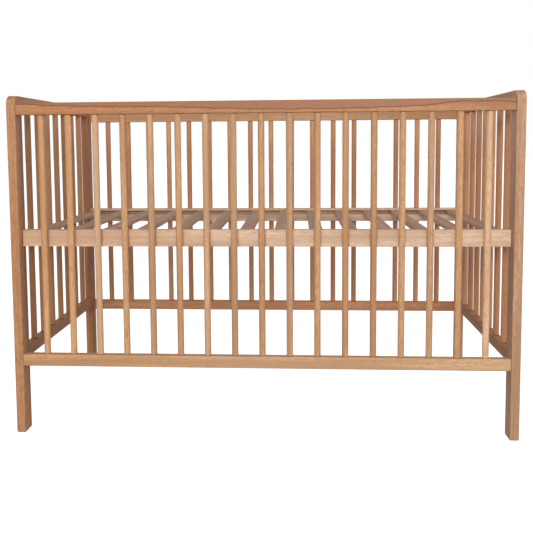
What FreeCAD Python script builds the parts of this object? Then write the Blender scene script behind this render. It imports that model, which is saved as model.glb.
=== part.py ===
import FreeCAD, Part
import os

# Baby crib in solid beech: two end panels, two spindled side panels and a slatted base
# that is bolted between the posts at one of several heights.
# Frame: X along the length, Y from front to back, Z up, origin on the floor at the centre.
# All sizes in millimetres.

# Overall
INNER_LENGTH = 1206.0
OVERALL_DEPTH = 652.0
OVERALL_HEIGHT = 849.0
LEFT_RIGHT = {"left": -1, "right": 1}
FRONT_BACK = {"front": -1, "back": 1}

# Posts
POST_THICKNESS = 22.0
POST_TOP_RADIUS = 23.0
FOOT_BEVEL = 3.0
EDGE_ROUND = 1.5

# Rails of the two side panels
RAIL_HEIGHT = 30.0
RAIL_THICKNESS = 20.0
RAIL_EDGE_ROUND = 2.0
SIDE_RAIL_SETBACK = 2.0
SIDE_TOP_RAIL_DROP = 18.0
SIDE_BOTTOM_RAIL_BASE = 172.5

# Rails of the two end panels
END_BOTTOM_RAIL_BASE = 185.0

# Spindles
SPINDLE_DIAMETER = 16.0
SPINDLE_END_ROUND = 2.5
TENON_DIAMETER = 10.0
TENON_LENGTH = 14.0
TENON_PLAY = 0.1
TENON_END_GAP = 1.0
SIDE_SPINDLE_COUNT = 17
END_SPINDLE_COUNT = 7

# Slatted base
BASE_BOARD_HEIGHT = 42.0
BASE_BOARD_THICKNESS = 20.0
BASE_TOP_LEVEL = 473.5
BASE_TOP_LIP = 7.0
BASE_END_GAP = 1.0
BASE_RAIL_GAP = 1.0
POST_BEHIND_BOARD = 2.0
GROOVE_DEPTH = 10.0
SLAT_WIDTH = 35.0
SLAT_THICKNESS = 12.0
SLAT_EDGE_ROUND = 4.0
SLAT_PLAY = 0.3
SLAT_END_PLAY = 1.0
SLAT_COUNT = 14
SLAT_END_MARGIN = 1.0
LEVEL_PITCH = 75.0
LEVEL_COUNT = 4

# Bolts, barrel nuts, inserts and dowels
BOLT_DIAMETER = 6.0
BOLT_HOLE_DIAMETER = 7.0
BOLT_HEAD_DIAMETER = 14.0
BOLT_HEAD_THICKNESS = 2.5
BOLT_SOCKET_ACROSS_FLATS = 4.0
BOLT_SOCKET_DEPTH = 1.8
COUNTERBORE_DIAMETER = 15.0
COUNTERBORE_DEPTH = 3.0
THREAD_PLAY = 0.05
NUT_DIAMETER = 10.0
NUT_LENGTH = 14.0
NUT_PLAY = 0.05
NUT_FROM_RAIL_END = 32.0
BOLT_PAST_NUT = 3.0
RAIL_BOLT_DROP = 5.0
INSERT_DIAMETER = 10.0
INSERT_LENGTH = 15.0
BOLT_PAST_INSERT = 5.0
DOWEL_DIAMETER = 6.0
DOWEL_PLAY = 0.05
DOWEL_END_GAP = 1.0
DOWEL_IN_POST = 12.0
DOWEL_IN_RAIL = 16.0
RAIL_DOWEL_RISE = 8.0
END_DOWEL_IN_POST = 20.0
END_DOWEL_OFFSET = 7.0
CUT_OVERRUN = 1.0

# Sizes that follow from the ones above
OVERALL_LENGTH = INNER_LENGTH + 2 * POST_THICKNESS
HALF_INNER_LENGTH = INNER_LENGTH / 2
HALF_LENGTH = OVERALL_LENGTH / 2
HALF_DEPTH = OVERALL_DEPTH / 2
POST_MID_X = HALF_INNER_LENGTH + POST_THICKNESS / 2
SIDE_RAIL_OUTER_Y = HALF_DEPTH - SIDE_RAIL_SETBACK
SIDE_RAIL_INNER_Y = SIDE_RAIL_OUTER_Y - RAIL_THICKNESS
SIDE_MID_Y = (SIDE_RAIL_OUTER_Y + SIDE_RAIL_INNER_Y) / 2
SIDE_TOP_RAIL_BASE = OVERALL_HEIGHT - SIDE_TOP_RAIL_DROP - RAIL_HEIGHT
END_TOP_RAIL_BASE = OVERALL_HEIGHT - RAIL_HEIGHT
BOARD_OUTER_Y = SIDE_RAIL_INNER_Y - BASE_RAIL_GAP
BOARD_INNER_Y = BOARD_OUTER_Y - BASE_BOARD_THICKNESS
BOARD_MID_Y = (BOARD_OUTER_Y + BOARD_INNER_Y) / 2
POST_INNER_Y = BOARD_INNER_Y - POST_BEHIND_BOARD
BOARD_HALF_LENGTH = HALF_INNER_LENGTH - BASE_END_GAP
GROOVE_HEIGHT = SLAT_THICKNESS + 2 * SLAT_PLAY
BASE_LOWER_LIP = BASE_BOARD_HEIGHT - BASE_TOP_LIP - GROOVE_HEIGHT
GROOVE_FLOOR_Z = BASE_TOP_LEVEL + BASE_LOWER_LIP
BASE_BOLT_Z = BASE_TOP_LEVEL + BASE_LOWER_LIP / 2
LEVEL_HEIGHTS = [BASE_BOLT_Z - LEVEL_PITCH * step for step in range(LEVEL_COUNT)]
SIDE_RAIL_BASES = {"top": SIDE_TOP_RAIL_BASE, "bottom": SIDE_BOTTOM_RAIL_BASE}
END_RAIL_BASES = {"top": END_TOP_RAIL_BASE, "bottom": END_BOTTOM_RAIL_BASE}

X_AXIS = FreeCAD.Vector(1, 0, 0)
Y_AXIS = FreeCAD.Vector(0, 1, 0)
Z_AXIS = FreeCAD.Vector(0, 0, 1)


def point(x, y, z):
    return FreeCAD.Vector(x, y, z)


def block(x_pair, y_pair, z_pair):
    """A box between two values on each axis, given in any order."""
    low = [min(pair) for pair in (x_pair, y_pair, z_pair)]
    high = [max(pair) for pair in (x_pair, y_pair, z_pair)]
    size = [top - bottom for top, bottom in zip(high, low)]
    return Part.makeBox(size[0], size[1], size[2], point(*low))


def rod(diameter, start, end):
    """A cylinder from one point to another."""
    run = end.sub(start)
    return Part.makeCylinder(diameter / 2, run.Length, start, run)


def runs_along(edge, axis):
    direction = edge.tangentAt(edge.FirstParameter)
    return abs(direction.dot(axis)) > 0.999


def round_long_edges(shape, radius, axis):
    edges = [edge for edge in shape.Edges if runs_along(edge, axis)]
    return shape.makeFillet(radius, edges)


def even_centres(low, high, count, width):
    """Centres of equal pieces with the same clear gap between them and at both ends."""
    gap = (high - low - count * width) / (count + 1)
    return [low + gap + width / 2 + index * (gap + width) for index in range(count)]


SIDE_SPINDLE_XS = even_centres(
    -HALF_INNER_LENGTH, HALF_INNER_LENGTH, SIDE_SPINDLE_COUNT, SPINDLE_DIAMETER
)
END_SPINDLE_YS = even_centres(-POST_INNER_Y, POST_INNER_Y, END_SPINDLE_COUNT, SPINDLE_DIAMETER)


def write(name, solids):
    """Write one piece, or a group of identical pieces, as one STEP file."""
    shape = solids[0] if len(solids) == 1 else Part.makeCompound(solids)
    shape.exportStep("parts/" + name + ".step")


# Fasteners

def bolt(seat, direction, length):
    """Flat-headed bolt: the underside of its head is at seat and its shank runs along direction."""
    head_top = seat.sub(direction * BOLT_HEAD_THICKNESS)
    head = rod(BOLT_HEAD_DIAMETER, head_top, seat)
    shank = rod(BOLT_DIAMETER, seat, seat.add(direction * length))
    corner_circle = BOLT_SOCKET_ACROSS_FLATS / (3 ** 0.5)
    corners = []
    for index in range(6):
        turn = FreeCAD.Rotation(direction, 60 * index)
        corners.append(head_top.add(turn.multVec(Z_AXIS) * corner_circle))
    outline = Part.Face(Part.makePolygon(corners + [corners[0]]))
    socket = outline.extrude(direction * BOLT_SOCKET_DEPTH)
    return head.fuse(shank).removeSplitter().cut(socket)


def bolt_seat(sign_x, y, z):
    """Where a bolt head sits, on the floor of the counterbore in a post's outer face."""
    return point(sign_x * (HALF_LENGTH - COUNTERBORE_DEPTH), y, z)


def bolt_hole_in_post(sign_x, y, z):
    through = rod(
        BOLT_HOLE_DIAMETER,
        point(sign_x * (HALF_INNER_LENGTH - CUT_OVERRUN), y, z),
        point(sign_x * (HALF_LENGTH + CUT_OVERRUN), y, z),
    )
    counterbore = rod(
        COUNTERBORE_DIAMETER,
        bolt_seat(sign_x, y, z),
        point(sign_x * (HALF_LENGTH + CUT_OVERRUN), y, z),
    )
    return through.fuse(counterbore)


def rail_bolt_length():
    in_post = POST_THICKNESS - COUNTERBORE_DEPTH
    return in_post + NUT_FROM_RAIL_END + NUT_DIAMETER / 2 + BOLT_PAST_NUT


def base_bolt_length():
    in_post = POST_THICKNESS - COUNTERBORE_DEPTH
    return in_post + BASE_END_GAP + INSERT_LENGTH


def side_rail_joints():
    """Each end of each side rail: signs of X and Y and the rail's lower edge."""
    joints = []
    for sign_x in LEFT_RIGHT.values():
        for sign_y in FRONT_BACK.values():
            for base in SIDE_RAIL_BASES.values():
                joints.append((sign_x, sign_y, base))
    return joints


def rail_bolt_z(base):
    return base + RAIL_HEIGHT / 2 - RAIL_BOLT_DROP


def rail_dowel_z(base):
    return base + RAIL_HEIGHT / 2 + RAIL_DOWEL_RISE


def end_dowel_zs(base):
    middle = base + RAIL_HEIGHT / 2
    return [middle - END_DOWEL_OFFSET, middle + END_DOWEL_OFFSET]


def side_rail_bolts():
    solids = []
    for sign_x, sign_y, base in side_rail_joints():
        seat = bolt_seat(sign_x, sign_y * SIDE_MID_Y, rail_bolt_z(base))
        solids.append(bolt(seat, X_AXIS * -sign_x, rail_bolt_length()))
    return solids


def side_rail_nuts():
    """Barrel nuts, standing upright in the rails, each crossed by its bolt."""
    solids = []
    for sign_x, sign_y, base in side_rail_joints():
        x = sign_x * (HALF_INNER_LENGTH - NUT_FROM_RAIL_END)
        y = sign_y * SIDE_MID_Y
        z = rail_bolt_z(base)
        barrel = rod(NUT_DIAMETER, point(x, y, z - NUT_LENGTH / 2), point(x, y, z + NUT_LENGTH / 2))
        thread = rod(
            BOLT_DIAMETER + 2 * THREAD_PLAY,
            point(x - NUT_DIAMETER, y, z),
            point(x + NUT_DIAMETER, y, z),
        )
        solids.append(barrel.cut(thread))
    return solids


def side_rail_dowels(extra_diameter=0.0, extra_length=0.0):
    """Dowels between side rails and posts; the extras make the holes they sit in."""
    solids = []
    for sign_x, sign_y, base in side_rail_joints():
        y = sign_y * SIDE_MID_Y
        z = rail_dowel_z(base)
        inner_end = HALF_INNER_LENGTH - DOWEL_IN_RAIL - extra_length
        outer_end = HALF_INNER_LENGTH + DOWEL_IN_POST + extra_length
        diameter = DOWEL_DIAMETER + extra_diameter
        solids.append(rod(diameter, point(sign_x * inner_end, y, z), point(sign_x * outer_end, y, z)))
    return solids


def end_panel_dowels(extra_diameter=0.0, extra_length=0.0):
    """Dowels between end rails and posts; the extras make the holes they sit in."""
    solids = []
    for sign_x in LEFT_RIGHT.values():
        for sign_y in FRONT_BACK.values():
            for base in END_RAIL_BASES.values():
                for z in end_dowel_zs(base):
                    inner_end = sign_y * (POST_INNER_Y - DOWEL_IN_RAIL - extra_length)
                    outer_end = sign_y * (POST_INNER_Y + END_DOWEL_IN_POST + extra_length)
                    x = sign_x * POST_MID_X
                    diameter = DOWEL_DIAMETER + extra_diameter
                    solids.append(rod(diameter, point(x, inner_end, z), point(x, outer_end, z)))
    return solids


def dowel_holes():
    side_holes = side_rail_dowels(2 * DOWEL_PLAY, DOWEL_END_GAP)
    end_holes = end_panel_dowels(2 * DOWEL_PLAY, DOWEL_END_GAP)
    return Part.makeCompound(side_holes + end_holes)


# Posts

def post_outline(sign_y):
    """Side view of a post: bevelled foot, top corner rounded on the outer side."""
    outer = sign_y * HALF_DEPTH
    inner = sign_y * POST_INNER_Y
    arc_middle = POST_TOP_RADIUS * (1 - 0.5 ** 0.5)
    foot_outer = point(0, outer - sign_y * FOOT_BEVEL, 0)
    outer_low = point(0, outer, FOOT_BEVEL)
    outer_high = point(0, outer, OVERALL_HEIGHT - POST_TOP_RADIUS)
    arc_point = point(0, outer - sign_y * arc_middle, OVERALL_HEIGHT - arc_middle)
    top_outer = point(0, outer - sign_y * POST_TOP_RADIUS, OVERALL_HEIGHT)
    top_inner = point(0, inner, OVERALL_HEIGHT)
    inner_low = point(0, inner, FOOT_BEVEL)
    foot_inner = point(0, inner + sign_y * FOOT_BEVEL, 0)
    edges = [
        Part.makeLine(foot_outer, outer_low),
        Part.makeLine(outer_low, outer_high),
        Part.Arc(outer_high, arc_point, top_outer).toShape(),
        Part.makeLine(top_outer, top_inner),
        Part.makeLine(top_inner, inner_low),
        Part.makeLine(inner_low, foot_inner),
        Part.makeLine(foot_inner, foot_outer),
    ]
    return Part.Face(Part.Wire(edges))


def post_holes(sign_x, sign_y):
    holes = [bolt_hole_in_post(sign_x, sign_y * BOARD_MID_Y, z) for z in LEVEL_HEIGHTS]
    for base in SIDE_RAIL_BASES.values():
        holes.append(bolt_hole_in_post(sign_x, sign_y * SIDE_MID_Y, rail_bolt_z(base)))
    return Part.makeCompound(holes)


def post(sign_x, sign_y):
    outline = post_outline(sign_y)
    outline.translate(point(sign_x * HALF_INNER_LENGTH, 0, 0))
    body = outline.extrude(X_AXIS * sign_x * POST_THICKNESS)
    rim = [edge for edge in body.Edges if not runs_along(edge, X_AXIS)]
    body = body.makeFillet(EDGE_ROUND, rim)
    return body.cut(post_holes(sign_x, sign_y)).cut(dowel_holes())


# Rails

def spindle_mortises(places, base, opens_up):
    """Blind round holes in a rail for the ends of its spindles."""
    mouth = base + RAIL_HEIGHT if opens_up else base
    inward = -1 if opens_up else 1
    floor = mouth + inward * (TENON_LENGTH + TENON_END_GAP)
    holes = []
    for x, y in places:
        start = point(x, y, mouth - inward * CUT_OVERRUN)
        holes.append(rod(TENON_DIAMETER + 2 * TENON_PLAY, start, point(x, y, floor)))
    return Part.makeCompound(holes)


def side_places(sign_y):
    return [(x, sign_y * SIDE_MID_Y) for x in SIDE_SPINDLE_XS]


def end_places(sign_x):
    return [(sign_x * POST_MID_X, y) for y in END_SPINDLE_YS]


def side_rail_fastener_holes(sign_y, base):
    """Holes for the bolts along the rail and, from below, for the barrel nuts."""
    y = sign_y * SIDE_MID_Y
    z = rail_bolt_z(base)
    bolt_run = NUT_FROM_RAIL_END + NUT_DIAMETER / 2 + 2 * BOLT_PAST_NUT
    holes = []
    for sign_x in LEFT_RIGHT.values():
        mouth = point(sign_x * (HALF_INNER_LENGTH + CUT_OVERRUN), y, z)
        holes.append(rod(BOLT_HOLE_DIAMETER, mouth, point(sign_x * (HALF_INNER_LENGTH - bolt_run), y, z)))
        nut_x = sign_x * (HALF_INNER_LENGTH - NUT_FROM_RAIL_END)
        nut_bottom = point(nut_x, y, base - CUT_OVERRUN)
        nut_top = point(nut_x, y, z + NUT_LENGTH / 2)
        holes.append(rod(NUT_DIAMETER + 2 * NUT_PLAY, nut_bottom, nut_top))
    return holes


def side_rail(sign_y, level):
    base = SIDE_RAIL_BASES[level]
    body = block(
        (-HALF_INNER_LENGTH, HALF_INNER_LENGTH),
        (sign_y * SIDE_RAIL_INNER_Y, sign_y * SIDE_RAIL_OUTER_Y),
        (base, base + RAIL_HEIGHT),
    )
    body = round_long_edges(body, RAIL_EDGE_ROUND, X_AXIS)
    for hole in side_rail_fastener_holes(sign_y, base):
        body = body.cut(hole)
    mortises = spindle_mortises(side_places(sign_y), base, level == "bottom")
    return body.cut(mortises).cut(dowel_holes())


def end_rail(sign_x, level):
    base = END_RAIL_BASES[level]
    half = RAIL_THICKNESS / 2
    middle = sign_x * POST_MID_X
    body = block(
        (middle - half, middle + half),
        (-POST_INNER_Y, POST_INNER_Y),
        (base, base + RAIL_HEIGHT),
    )
    body = round_long_edges(body, RAIL_EDGE_ROUND, Y_AXIS)
    mortises = spindle_mortises(end_places(sign_x), base, level == "bottom")
    return body.cut(mortises).cut(dowel_holes())


# Spindles

def spindle(x, y, lower_rail_base, upper_rail_base):
    """Round spindle whose rounded shoulders meet both rails, with a thinner tenon at each end."""
    low = lower_rail_base + RAIL_HEIGHT
    shaft = rod(SPINDLE_DIAMETER, point(x, y, low), point(x, y, upper_rail_base))
    rims = [edge for edge in shaft.Edges if edge.isClosed()]
    shaft = shaft.makeFillet(SPINDLE_END_ROUND, rims)
    core_bottom = point(x, y, low - TENON_LENGTH)
    core_top = point(x, y, upper_rail_base + TENON_LENGTH)
    return shaft.fuse(rod(TENON_DIAMETER, core_bottom, core_top)).removeSplitter()


def side_spindles(sign_y):
    solids = []
    for x, y in side_places(sign_y):
        solids.append(spindle(x, y, SIDE_RAIL_BASES["bottom"], SIDE_RAIL_BASES["top"]))
    return solids


def end_spindles(sign_x):
    solids = []
    for x, y in end_places(sign_x):
        solids.append(spindle(x, y, END_RAIL_BASES["bottom"], END_RAIL_BASES["top"]))
    return solids


# Slatted base

def base_board(sign_y):
    """Long board with a groove for the slat ends and an insert hole in each end."""
    body = block(
        (-BOARD_HALF_LENGTH, BOARD_HALF_LENGTH),
        (sign_y * BOARD_INNER_Y, sign_y * BOARD_OUTER_Y),
        (BASE_TOP_LEVEL, BASE_TOP_LEVEL + BASE_BOARD_HEIGHT),
    )
    body = round_long_edges(body, EDGE_ROUND, X_AXIS)
    groove = block(
        (-BOARD_HALF_LENGTH - CUT_OVERRUN, BOARD_HALF_LENGTH + CUT_OVERRUN),
        (sign_y * (BOARD_INNER_Y - CUT_OVERRUN), sign_y * (BOARD_INNER_Y + GROOVE_DEPTH)),
        (GROOVE_FLOOR_Z, GROOVE_FLOOR_Z + GROOVE_HEIGHT),
    )
    body = body.cut(groove)
    for sign_x in LEFT_RIGHT.values():
        mouth = point(sign_x * (BOARD_HALF_LENGTH + CUT_OVERRUN), sign_y * BOARD_MID_Y, BASE_BOLT_Z)
        floor_x = BOARD_HALF_LENGTH - INSERT_LENGTH - BOLT_PAST_INSERT
        floor = point(sign_x * floor_x, sign_y * BOARD_MID_Y, BASE_BOLT_Z)
        body = body.cut(rod(INSERT_DIAMETER, mouth, floor))
    return body


def slats():
    """Cross slats lying in the grooves of the two boards, evenly spaced."""
    half_length = BOARD_INNER_Y + GROOVE_DEPTH - SLAT_END_PLAY
    bottom = GROOVE_FLOOR_Z + SLAT_PLAY
    first = -BOARD_HALF_LENGTH + SLAT_END_MARGIN + SLAT_WIDTH / 2
    pitch = -2 * first / (SLAT_COUNT - 1)
    solids = []
    for index in range(SLAT_COUNT):
        x = first + pitch * index
        body = block(
            (x - SLAT_WIDTH / 2, x + SLAT_WIDTH / 2),
            (-half_length, half_length),
            (bottom, bottom + SLAT_THICKNESS),
        )
        solids.append(round_long_edges(body, SLAT_EDGE_ROUND, Y_AXIS))
    return solids


def base_corners():
    corners = []
    for sign_x in LEFT_RIGHT.values():
        for sign_y in FRONT_BACK.values():
            corners.append((sign_x, sign_y * BOARD_MID_Y))
    return corners


def base_bolts():
    solids = []
    for sign_x, y in base_corners():
        seat = bolt_seat(sign_x, y, BASE_BOLT_Z)
        solids.append(bolt(seat, X_AXIS * -sign_x, base_bolt_length()))
    return solids


def base_inserts():
    """Threaded sleeves pressed into the ends of the base boards."""
    solids = []
    for sign_x, y in base_corners():
        mouth = point(sign_x * BOARD_HALF_LENGTH, y, BASE_BOLT_Z)
        inner_end = point(sign_x * (BOARD_HALF_LENGTH - INSERT_LENGTH), y, BASE_BOLT_Z)
        beyond = X_AXIS * sign_x * CUT_OVERRUN
        sleeve = rod(INSERT_DIAMETER, mouth, inner_end)
        thread = rod(BOLT_DIAMETER + 2 * THREAD_PLAY, mouth.add(beyond), inner_end.sub(beyond))
        solids.append(sleeve.cut(thread))
    return solids


def write_frame():
    for end_name, sign_x in LEFT_RIGHT.items():
        for side_name, sign_y in FRONT_BACK.items():
            write("post_" + side_name + "_" + end_name, [post(sign_x, sign_y)])
        for level in END_RAIL_BASES:
            write("end_" + level + "_rail_" + end_name, [end_rail(sign_x, level)])
        write("end_spindles_" + end_name, end_spindles(sign_x))
    for side_name, sign_y in FRONT_BACK.items():
        for level in SIDE_RAIL_BASES:
            write("side_" + level + "_rail_" + side_name, [side_rail(sign_y, level)])
    for number, solid in enumerate(side_spindles(FRONT_BACK["front"]), start=1):
        write("front_spindle_%02d" % number, [solid])
    write("back_spindles", side_spindles(FRONT_BACK["back"]))
    write("side_rail_bolts", side_rail_bolts())
    write("side_rail_barrel_nuts", side_rail_nuts())
    write("side_rail_dowels", side_rail_dowels())
    write("end_panel_dowels", end_panel_dowels())


def write_base():
    for side_name, sign_y in FRONT_BACK.items():
        write("base_board_" + side_name, [base_board(sign_y)])
    for number, solid in enumerate(slats(), start=1):
        write("slat_%02d" % number, [solid])
    write("base_bolts", base_bolts())
    write("base_inserts", base_inserts())


os.makedirs("parts", exist_ok=True)
write_frame()
write_base()
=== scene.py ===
import math
from collections import namedtuple

import bpy
from mathutils import Matrix, Vector


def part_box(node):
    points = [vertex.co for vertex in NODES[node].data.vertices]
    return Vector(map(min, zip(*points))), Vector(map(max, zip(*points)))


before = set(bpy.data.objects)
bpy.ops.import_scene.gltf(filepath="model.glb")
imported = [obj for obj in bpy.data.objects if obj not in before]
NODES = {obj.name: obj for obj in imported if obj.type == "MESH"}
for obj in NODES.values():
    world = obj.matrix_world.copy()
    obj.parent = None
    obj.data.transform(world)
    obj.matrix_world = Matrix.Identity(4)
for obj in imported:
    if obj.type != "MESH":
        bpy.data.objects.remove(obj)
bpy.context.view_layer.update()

WHITE = (1.0, 1.0, 1.0, 1.0)

# Camera, fitted to the crib's real edges: metres and degrees
CAMERA_PLACE = Vector((0.0904, -2.0587, 0.7272))
CAMERA_TURN = 3.514
CAMERA_DIP = 4.681
CAMERA_ROLL = -0.425
CAMERA_LENS = 48.53
CAMERA_SENSOR = 36.0
CAMERA_SHIFT = (0.0222, -0.1202)

# Light
LAMP_AIM = Vector((0.0, 0.0, 0.45))
KEY_PLACE = Vector((-0.35, -4.9, 2.05))
KEY_SIZE = (2.4, 1.2)
KEY_POWER = 130.0
SIDE_PLACE = Vector((3.4, -1.3, 1.2))
SIDE_SIZE = (1.6, 1.6)
SIDE_POWER = 22.0
AMBIENT_LOW = 0.95
AMBIENT_HIGH = 0.25
AMBIENT_COLOUR = (0.86, 0.95, 1.16, 1.0)

# Floor
FLOOR_SIZE = 60.0
FLOOR_GLOW = 0.9
FLOOR_ROUGHNESS = 0.9
FLOOR_SPECKLE_SCALE = 3.0
FLOOR_DARK = (0.46, 0.46, 0.46, 1.0)
FLOOR_LIGHT = (0.50, 0.50, 0.50, 1.0)

# Wood tones, as linear colours
TONES = {
    "amber": (0.525, 0.248, 0.102),
    "honey": (0.560, 0.290, 0.126),
    "copper": (0.625, 0.295, 0.128),
    "golden": (0.615, 0.330, 0.150),
    "tan": (0.605, 0.340, 0.172),
    "wheat": (0.560, 0.315, 0.168),
    "sunny": (0.700, 0.370, 0.165),
    "pale": (0.690, 0.405, 0.205),
    "blond": (0.765, 0.475, 0.260),
    "russet": (0.480, 0.200, 0.071),
    "heartwood": (0.350, 0.140, 0.055),
    "raw": (0.730, 0.470, 0.285),
    "raw_slat": (0.670, 0.405, 0.240),
    "dowel": (0.680, 0.450, 0.260),
}
POST_TONES = {
    "post_front_left": "amber",
    "post_front_right": "wheat",
    "post_back_left": "russet",
    "post_back_right": "copper",
}
END_SPINDLE_TONES = {"left": "amber", "right": "copper"}
FRONT_SPINDLE_TONES = (
    "sunny sunny blond golden tan golden pale tan honey "
    "tan golden golden honey golden tan golden blond"
).split()
END_SPINDLES = 7
SIDE_SPINDLES = 17

# Slow changes of tone along a piece: where along the crib they start and end, in metres, and the
# factors for red, green and blue that they end with
TOP_RAIL_DRIFT = (0.0, 0.45, (1.08, 1.22, 1.45, 1.0))
BOTTOM_RAIL_DRIFT = (-0.45, -0.10, (1.06, 1.18, 1.32, 1.0))
BOARD_DRIFT = (-0.35, 0.10, (1.02, 1.08, 1.15, 1.0))

# Wood figure: how fine each pattern is, and how far it is drawn out along the grain
BAND_SCALE = 42.0
MOTTLE_SCALE = 210.0
STREAK_SCALE = 420.0
FLECK_SCALE = 1300.0
RING_SCALE = 26.0
RING_DISTORTION = 5.0
RING_DETAIL = 2.0
RING_DETAIL_SCALE = 12.0
RING_SHIFT = (0.013, 0.021, 0.017)
LONG_GRAIN = 0.045
SHORT_GRAIN = 0.30

# Pale and dark bands of the figure: the part of the noise between them and their tints
BAND_RANGE = (0.38, 0.62)
BAND_DARK = (0.86, 0.82, 0.78)
BAND_LIGHT = (1.16, 1.18, 1.20)

# Darker marks over the bands: the part of the pattern that shows, its strength and its tint
Mark = namedtuple("Mark", "low high strength tint")
MOTTLE = Mark(0.48, 0.68, 0.55, (0.80, 0.74, 0.68))
STREAK = Mark(0.50, 0.70, 0.60, (0.78, 0.70, 0.62))
RING = Mark(0.6, 1.0, 0.30, (0.82, 0.72, 0.62))
FLECK = Mark(0.58, 0.68, 0.60, (0.60, 0.50, 0.42))

# How much the pieces of one group differ
GROUP_VARIATION = 0.5
GROUP_DARK = (0.80, 0.74, 0.68)
GROUP_LIGHT = (1.18, 1.26, 1.36)

# How strongly the figure shows on each kind of piece
USUAL_CONTRAST = 1.3
POST_CONTRAST = 1.6
BOARD_CONTRAST = 0.9
SLAT_CONTRAST = 1.8
DOWEL_CONTRAST = 0.8

# Surface of the wood
OILED_ROUGHNESS = 0.46
RAW_ROUGHNESS = 0.60
SLAT_ROUGHNESS = 0.62
ROUGHNESS_SPREAD = 0.12
WOOD_SPECULAR = 0.35
GRAIN_BUMP = 0.00025
BUMP_STRENGTH = 0.6

# Painted shade: the dark line where pieces meet, as the shade in each joint's narrow gap and
# corners, and darker slat ends where the slats run into the base boards' grooves
JOINT_SHADE = (0.10, 0.045, 0.02, 1.0)
JOINT_SHADE_DEPTH = 0.0020
RAIL_JOINT_STRENGTH = 0.75
SPINDLE_JOINT_STRENGTH = 0.6
SLAT_END_SHADE = 0.020
SLAT_END_STRENGTH = 0.45

# The dark growth line along the front top rail: places along the rail and depths below its top
LINE_PATH = (
    (-0.60, 0.003), (-0.43, 0.010), (-0.21, 0.014), (0.02, 0.021),
    (0.21, 0.021), (0.39, 0.0155), (0.51, 0.007), (0.60, 0.0105),
)
LINE_DEEPEST = 0.03
LINE_HALF_WIDTH = 0.0009
LINE_STRENGTH = 0.9
LINE_TINT = (0.55, 0.45, 0.40)
LINE_WOBBLE = 0.0012
LINE_WOBBLE_SCALE = 22.0
HEARTWOOD_STRENGTH = 0.85
HEARTWOOD_EDGE = 0.0010

# The groove along each base board, in metres, and how dark its painted shade is: a painted shadow
# just under its lip and dimmer painted shade lower down
GROOVE_LIP = 0.007
GROOVE_HEIGHT = 0.0126
GROOVE_DEPTH = 0.010
GROOVE_MARGIN = 0.001
GROOVE_SHADOW_BAND = 0.004
GROOVE_SHADOW_STRENGTH = 0.95
GROOVE_SHADE_STRENGTH = 0.35

# Zinc-plated steel: tints, and the least and greatest roughness
BOLT_TINT = (0.56, 0.57, 0.59)
BOLT_ROUGHNESS = (0.28, 0.42)
FITTING_TINT = (0.52, 0.51, 0.46)
FITTING_ROUGHNESS = (0.36, 0.5)
STEEL_DARK = (0.8, 0.8, 0.8)
STEEL_CLOUD_SCALE = 420.0
STEEL_BUMP = 0.00005

# The middle part of a noise texture, where most of its values lie
NOISE_RANGE = (0.3, 0.7)


def shade(colour, factors=(1.0, 1.0, 1.0)):
    """A colour times a factor for each channel, with alpha."""
    return (*(channel * factor for channel, factor in zip(colour, factors)), 1.0)


class Graph:
    """A material's node tree, with one short call per kind of node."""

    def __init__(self, name):
        self.material = bpy.data.materials.new(name)
        self.material.use_nodes = True
        self.tree = self.material.node_tree
        self.shader = self.tree.nodes["Principled BSDF"]
        self.place = self.add("ShaderNodeTexCoord").outputs["Object"]

    def add(self, kind, **settings):
        node = self.tree.nodes.new(kind)
        for key, value in settings.items():
            setattr(node, key, value)
        return node

    def feed(self, socket, value):
        if isinstance(value, bpy.types.NodeSocket):
            self.tree.links.new(value, socket)
        else:
            socket.default_value = value

    def math(self, operation, *values):
        node = self.add("ShaderNodeMath", operation=operation)
        for socket, value in zip(node.inputs, values):
            self.feed(socket, value)
        return node.outputs[0]

    def stretch(self, factors):
        node = self.add("ShaderNodeVectorMath", operation="MULTIPLY")
        self.feed(node.inputs[0], self.place)
        node.inputs[1].default_value = factors
        return node.outputs[0]

    def noise(self, vector, scale, detail=2.0, roughness=0.5):
        node = self.add("ShaderNodeTexNoise")
        self.feed(node.inputs["Vector"], vector)
        node.inputs["Scale"].default_value = scale
        node.inputs["Detail"].default_value = detail
        node.inputs["Roughness"].default_value = roughness
        return node.outputs["Fac"]

    def span(self, value, low, high, to_low=0.0, to_high=1.0):
        node = self.add("ShaderNodeMapRange")
        for socket, number in zip(list(node.inputs)[:5], (value, low, high, to_low, to_high)):
            self.feed(socket, number)
        return node.outputs[0]

    def window(self, value, low, high, soft=0.0005):
        """One between two values and zero outside them."""
        above = self.span(value, low - soft, low)
        return self.math("MULTIPLY", above, self.span(value, high, high + soft, 1.0, 0.0))

    def mix(self, factor, first, second, blend="MIX"):
        node = self.add("ShaderNodeMix", data_type="RGBA", blend_type=blend)
        self.feed(node.inputs["Factor"], factor)
        self.feed(node.inputs["A"], first)
        self.feed(node.inputs["B"], second)
        return node.outputs["Result"]

    def axis(self, index):
        node = self.add("ShaderNodeSeparateXYZ")
        self.feed(node.inputs[0], self.place)
        return node.outputs[index]

    def bump(self, height, depth):
        node = self.add("ShaderNodeBump")
        node.inputs["Strength"].default_value = BUMP_STRENGTH
        node.inputs["Distance"].default_value = depth
        self.feed(node.inputs["Height"], height)
        self.feed(self.shader.inputs["Normal"], node.outputs[0])


# Wood

def along(grain, factor):
    """Stretch factors that draw a texture out along the grain."""
    factors = [1.0, 1.0, 1.0]
    factors["XYZ".index(grain)] = factor
    return factors


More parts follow.
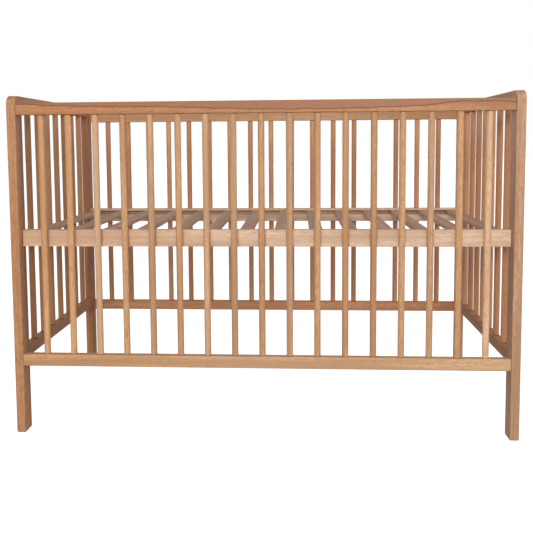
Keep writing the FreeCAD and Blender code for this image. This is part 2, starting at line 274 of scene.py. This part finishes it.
def growth_rings(graph, grain):
    """Growth rings round an axis beside the piece, cut as lines that wander along the grain."""
    shifted = graph.add("ShaderNodeVectorMath", operation="ADD")
    graph.feed(shifted.inputs[0], graph.stretch(along(grain, LONG_GRAIN)))
    shifted.inputs[1].default_value = RING_SHIFT
    node = graph.add("ShaderNodeTexWave", wave_type="RINGS", rings_direction=grain)
    graph.feed(node.inputs["Vector"], shifted.outputs[0])
    node.inputs["Scale"].default_value = RING_SCALE
    node.inputs["Distortion"].default_value = RING_DISTORTION
    node.inputs["Detail"].default_value = RING_DETAIL
    node.inputs["Detail Scale"].default_value = RING_DETAIL_SCALE
    return node.outputs["Fac"]


def wood_figure(graph, base, grain, contrast):
    """Colour of the wood, and the streaks that its gloss and bump share."""
    long_grain = graph.stretch(along(grain, LONG_GRAIN))
    short_grain = graph.stretch(along(grain, SHORT_GRAIN))
    bands = graph.span(graph.noise(long_grain, BAND_SCALE), *BAND_RANGE)
    streaks = graph.noise(long_grain, STREAK_SCALE, detail=3.0, roughness=0.6)
    marks = (
        (graph.noise(short_grain, MOTTLE_SCALE), MOTTLE),
        (streaks, STREAK),
        (growth_rings(graph, grain), RING),
        (graph.noise(short_grain, FLECK_SCALE, detail=1.0), FLECK),
    )
    colour = graph.mix(bands, shade(base, BAND_DARK), shade(base, BAND_LIGHT))
    for pattern, mark in marks:
        share = graph.span(pattern, mark.low, mark.high)
        share = graph.math("MULTIPLY", share, mark.strength * contrast)
        colour = graph.mix(share, colour, shade(base, mark.tint))
    return colour, streaks


def piece_number(graph, axis, first, pitch):
    """A random number from 0 to 1 that is the same all over one piece of a group."""
    steps = graph.math("DIVIDE", graph.math("SUBTRACT", graph.axis(axis), first), pitch)
    node = graph.add("ShaderNodeTexWhiteNoise", noise_dimensions="1D")
    graph.feed(node.inputs["W"], graph.math("ROUND", steps))
    return node.outputs["Value"]


def vary_by_piece(graph, colour, base, group):
    """Make some pieces of a group darker and some lighter."""
    number = piece_number(graph, *group)
    darker = graph.span(number, 0.0, 0.5, GROUP_VARIATION, 0.0)
    lighter = graph.span(number, 0.5, 1.0, 0.0, GROUP_VARIATION)
    colour = graph.mix(darker, colour, shade(base, GROUP_DARK))
    return graph.mix(lighter, colour, shade(base, GROUP_LIGHT))


def growth_line_depth(graph):
    """How far below the top of the rail the growth line runs, at each place along it."""
    start, end = LINE_PATH[0][0], LINE_PATH[-1][0]
    course = graph.add("ShaderNodeFloatCurve")
    graph.feed(course.inputs["Value"], graph.span(graph.axis(0), start, end))
    points = course.mapping.curves[0].points
    for place, _ in LINE_PATH[1:-1]:
        points.new((place - start) / (end - start), 0.0)
    for spot, (_, depth) in zip(points, LINE_PATH):
        spot.location.y = depth / LINE_DEEPEST
    course.mapping.update()
    ripple = graph.noise(graph.stretch((1.0, 0.0, 0.0)), LINE_WOBBLE_SCALE)
    wobble = graph.span(ripple, *NOISE_RANGE, -LINE_WOBBLE, LINE_WOBBLE)
    return graph.math("ADD", graph.math("MULTIPLY", course.outputs[0], LINE_DEEPEST), wobble)


def heartwood_band(graph, colour, top):
    """Redder wood above one dark wavy growth line near the upper edge of a rail."""
    heartwood = TONES["heartwood"]
    below_top = graph.math("SUBTRACT", top, graph.axis(2))
    below = graph.math("SUBTRACT", below_top, growth_line_depth(graph))
    above = graph.span(below, -HEARTWOOD_EDGE, 0.0, HEARTWOOD_STRENGTH, 0.0)
    colour = graph.mix(above, colour, shade(heartwood))
    away = graph.math("ABSOLUTE", below)
    line = graph.span(away, LINE_HALF_WIDTH, 2 * LINE_HALF_WIDTH, LINE_STRENGTH, 0.0)
    return graph.mix(line, colour, shade(heartwood, LINE_TINT))


def drift_along_length(graph, colour, start, end, gain):
    """Let the wood turn paler between two places along the length of the crib."""
    share = graph.span(graph.axis(0), start, end)
    return graph.mix(1.0, colour, graph.mix(share, WHITE, gain), "MULTIPLY")


def joint_shade(graph, colour, axis, low, high, depth, strength):
    """Painted shade: the dark line where the ends of a piece meet its neighbours."""
    place = graph.axis(axis)
    from_low = graph.math("SUBTRACT", place, low)
    from_high = graph.math("SUBTRACT", high, place)
    reach = graph.math("MINIMUM", from_low, from_high)
    return graph.mix(graph.span(reach, 0.0, depth, strength, 0.0), colour, JOINT_SHADE)


def groove_painted_shade(graph, colour, node):
    """Painted shade inside the groove of a base board, darkest as a painted shadow just under its
    upper lip.
    """
    low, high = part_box(node)
    inner_face = min(abs(low.y), abs(high.y))
    groove_top = high.z - GROOVE_LIP
    inset = graph.math("SUBTRACT", graph.math("ABSOLUTE", graph.axis(1)), inner_face)
    below = graph.math("SUBTRACT", groove_top, graph.axis(2))
    inside = graph.window(inset, GROOVE_MARGIN, GROOVE_DEPTH + GROOVE_MARGIN)
    inside = graph.math("MULTIPLY", inside, graph.window(below, 0.0, GROOVE_HEIGHT))
    band_start = GROOVE_SHADOW_BAND - GROOVE_MARGIN
    band_end = GROOVE_SHADOW_BAND + GROOVE_MARGIN
    # Painted shadow under the lip, dimmer painted shade lower down in the groove
    strength = graph.span(below, band_start, band_end, GROOVE_SHADOW_STRENGTH, GROOVE_SHADE_STRENGTH)
    return graph.mix(graph.math("MULTIPLY", inside, strength), colour, JOINT_SHADE)


def wood(
    name, tone, grain, contrast=USUAL_CONTRAST, roughness=OILED_ROUGHNESS,
    group=None, band_top=None, drift=None, ends=None, groove=None,
):
    """Wood of one tone, with the figure along one axis and the marks and painted shade that a piece
    asks for.
    """
    graph = Graph(name)
    base = TONES[tone]
    colour, streaks = wood_figure(graph, base, grain, contrast)
    if group:
        colour = vary_by_piece(graph, colour, base, group)
    if band_top:
        colour = heartwood_band(graph, colour, band_top)
    if drift:
        colour = drift_along_length(graph, colour, *drift)
    # Painted shade at the joints at the ends of a piece
    if ends:
        colour = joint_shade(graph, colour, *ends)
    # Painted shade inside the groove of a base board
    if groove:
        colour = groove_painted_shade(graph, colour, groove)
    matt = graph.span(streaks, *NOISE_RANGE, roughness, roughness + ROUGHNESS_SPREAD)
    graph.feed(graph.shader.inputs["Base Color"], colour)
    graph.feed(graph.shader.inputs["Roughness"], matt)
    graph.shader.inputs["Specular IOR Level"].default_value = WOOD_SPECULAR
    graph.bump(streaks, GRAIN_BUMP)
    return graph.material


# Metal

def steel(name, tint, roughness):
    """Zinc-plated steel with a faint cloudy surface."""
    graph = Graph(name)
    cloud = graph.noise(graph.place, STEEL_CLOUD_SCALE, detail=3.0)
    colour = graph.mix(cloud, shade(tint, STEEL_DARK), shade(tint))
    graph.feed(graph.shader.inputs["Base Color"], colour)
    graph.feed(graph.shader.inputs["Roughness"], graph.span(cloud, *NOISE_RANGE, *roughness))
    graph.shader.inputs["Metallic"].default_value = 1.0
    graph.bump(cloud, STEEL_BUMP)
    return graph.material


# What each node is made of

def dress(node, material):
    slots = NODES[node].data.materials
    slots.clear()
    slots.append(material)


def spread(node, axis, count):
    """The axis that a group of pieces is spread along, its first centre and its pitch."""
    low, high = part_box(node)
    width = high[1 - axis] - low[1 - axis]
    pitch = (high[axis] - low[axis] - width) / (count - 1)
    return axis, low[axis] + width / 2, pitch


def rail_ends(node, axis):
    """The shaded joints at the two ends of a rail."""
    low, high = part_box(node)
    return axis, low[axis], high[axis], JOINT_SHADE_DEPTH, RAIL_JOINT_STRENGTH


def spindle_ends(bottom_rail, top_rail):
    """The shaded joints of spindles that stand between two rails."""
    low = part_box(bottom_rail)[1].z
    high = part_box(top_rail)[0].z
    return 2, low, high, JOINT_SHADE_DEPTH, SPINDLE_JOINT_STRENGTH


def dress_posts_and_rails():
    for node, tone in POST_TONES.items():
        dress(node, wood("wood_" + node, tone, "Z", POST_CONTRAST))
    end_rail = wood("wood_end_rail", "amber", "Y", ends=rail_ends("end_top_rail_left", 1))
    for level in ("top", "bottom"):
        for end in ("left", "right"):
            dress("end_" + level + "_rail_" + end, end_rail)
    ends = rail_ends("side_top_rail_front", 0)
    band_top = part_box("side_top_rail_front")[1].z
    top_rail = wood(
        "wood_top_rail_front", "russet", "X", ends=ends, band_top=band_top, drift=TOP_RAIL_DRIFT
    )
    dress("side_top_rail_front", top_rail)
    bottom_rail = wood("wood_bottom_rail_front", "golden", "X", ends=ends, drift=BOTTOM_RAIL_DRIFT)
    dress("side_bottom_rail_front", bottom_rail)
    dress("side_top_rail_back", wood("wood_top_rail_back", "honey", "X", ends=ends))
    dress("side_bottom_rail_back", wood("wood_bottom_rail_back", "copper", "X", ends=ends))


def dress_spindles():
    side_ends = spindle_ends("side_bottom_rail_front", "side_top_rail_front")
    finishes = {}
    for tone in sorted(set(FRONT_SPINDLE_TONES)):
        finishes[tone] = wood("wood_spindle_" + tone, tone, "Z", ends=side_ends)
    for number, tone in enumerate(FRONT_SPINDLE_TONES, start=1):
        dress("front_spindle_%02d" % number, finishes[tone])
    group = spread("back_spindles", 0, SIDE_SPINDLES)
    dress("back_spindles", wood("wood_back_spindles", "copper", "Z", group=group, ends=side_ends))
    for end, tone in END_SPINDLE_TONES.items():
        node = "end_spindles_" + end
        ends = spindle_ends("end_bottom_rail_" + end, "end_top_rail_" + end)
        group = spread(node, 1, END_SPINDLES)
        dress(node, wood("wood_" + node, tone, "Z", group=group, ends=ends))


def dress_base():
    for node in ("base_board_front", "base_board_back"):
        board = wood(
            "wood_" + node, "raw", "X", BOARD_CONTRAST, RAW_ROUGHNESS, drift=BOARD_DRIFT, groove=node
        )
        dress(node, board)
    # Painted shade on the slats' ends, where they run into the base boards' grooves under the lips
    inner_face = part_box("base_board_front")[1].y
    ends = (1, inner_face, -inner_face, SLAT_END_SHADE, SLAT_END_STRENGTH)
    slat = wood("wood_slat", "raw_slat", "Y", SLAT_CONTRAST, SLAT_ROUGHNESS, ends=ends)
    for node in NODES:
        if node.startswith("slat"):
            dress(node, slat)


def dress_fasteners():
    bolt = steel("zinc_bolt", BOLT_TINT, BOLT_ROUGHNESS)
    fitting = steel("zinc_fitting", FITTING_TINT, FITTING_ROUGHNESS)
    dowel = wood("wood_dowel", "dowel", "Z", DOWEL_CONTRAST, RAW_ROUGHNESS)
    finishes = {
        "side_rail_bolts": bolt,
        "base_bolts": bolt,
        "side_rail_barrel_nuts": fitting,
        "base_inserts": fitting,
        "side_rail_dowels": dowel,
        "end_panel_dowels": dowel,
    }
    for node, finish in finishes.items():
        dress(node, finish)


# Stage

def make_floor():
    """A plain matt floor that the camera sees as white."""
    mesh = bpy.data.meshes.new("floor")
    half = FLOOR_SIZE / 2
    corners = [(-half, -half, 0), (half, -half, 0), (half, half, 0), (-half, half, 0)]
    mesh.from_pydata(corners, [], [(0, 1, 2, 3)])
    floor = bpy.data.objects.new("floor", mesh)
    bpy.context.scene.collection.objects.link(floor)
    graph = Graph("floor")
    speckle = graph.noise(graph.place, FLOOR_SPECKLE_SCALE)
    colour = graph.mix(speckle, FLOOR_DARK, FLOOR_LIGHT)
    graph.feed(graph.shader.inputs["Base Color"], colour)
    graph.shader.inputs["Roughness"].default_value = FLOOR_ROUGHNESS
    graph.shader.inputs["Emission Color"].default_value = WHITE
    seen = graph.add("ShaderNodeLightPath").outputs["Is Camera Ray"]
    graph.feed(graph.shader.inputs["Emission Strength"], graph.math("MULTIPLY", seen, FLOOR_GLOW))
    mesh.materials.append(graph.material)


def make_world():
    """Soft light that is stronger from below than from above, seen by the camera as plain white."""
    world = bpy.data.worlds.new("studio")
    world.use_nodes = True
    nodes = world.node_tree.nodes
    links = world.node_tree.links
    background = nodes["Background"]
    background.inputs["Color"].default_value = AMBIENT_COLOUR
    height = nodes.new("ShaderNodeSeparateXYZ")
    links.new(nodes.new("ShaderNodeTexCoord").outputs["Generated"], height.inputs[0])
    level = nodes.new("ShaderNodeMapRange")
    level.inputs["To Min"].default_value = AMBIENT_LOW
    level.inputs["To Max"].default_value = AMBIENT_HIGH
    links.new(height.outputs["Z"], level.inputs["Value"])
    links.new(level.outputs[0], background.inputs["Strength"])
    backdrop = nodes.new("ShaderNodeBackground")
    backdrop.inputs["Color"].default_value = WHITE
    path = nodes.new("ShaderNodeLightPath")
    choice = nodes.new("ShaderNodeMixShader")
    links.new(path.outputs["Is Camera Ray"], choice.inputs["Fac"])
    links.new(background.outputs[0], choice.inputs[1])
    links.new(backdrop.outputs[0], choice.inputs[2])
    links.new(choice.outputs[0], nodes["World Output"].inputs["Surface"])
    bpy.context.scene.world = world


def make_lamp(name, place, size, power):
    """A soft box that points at the middle of the crib."""
    light = bpy.data.lights.new(name, "AREA")
    light.shape = "RECTANGLE"
    light.size, light.size_y = size
    light.energy = power
    lamp = bpy.data.objects.new(name, light)
    lamp.location = place
    lamp.rotation_euler = (LAMP_AIM - place).to_track_quat("-Z", "Y").to_euler()
    bpy.context.scene.collection.objects.link(lamp)


def make_camera():
    data = bpy.data.cameras.new("camera")
    data.sensor_width = CAMERA_SENSOR
    data.lens = CAMERA_LENS
    data.shift_x, data.shift_y = CAMERA_SHIFT
    camera = bpy.data.objects.new("camera", data)
    turn = Matrix.Rotation(math.radians(CAMERA_TURN), 4, "Z")
    tilt = Matrix.Rotation(math.radians(90 - CAMERA_DIP), 4, "X")
    roll = Matrix.Rotation(math.radians(CAMERA_ROLL), 4, "Z")
    camera.matrix_world = Matrix.Translation(CAMERA_PLACE) @ turn @ tilt @ roll
    bpy.context.scene.collection.objects.link(camera)
    bpy.context.scene.camera = camera


dress_posts_and_rails()
dress_spindles()
dress_base()
dress_fasteners()
make_floor()
make_world()
make_lamp("key", KEY_PLACE, KEY_SIZE, KEY_POWER)
make_lamp("side", SIDE_PLACE, SIDE_SIZE, SIDE_POWER)
make_camera()
bpy.context.scene.view_settings.view_transform = "Standard"
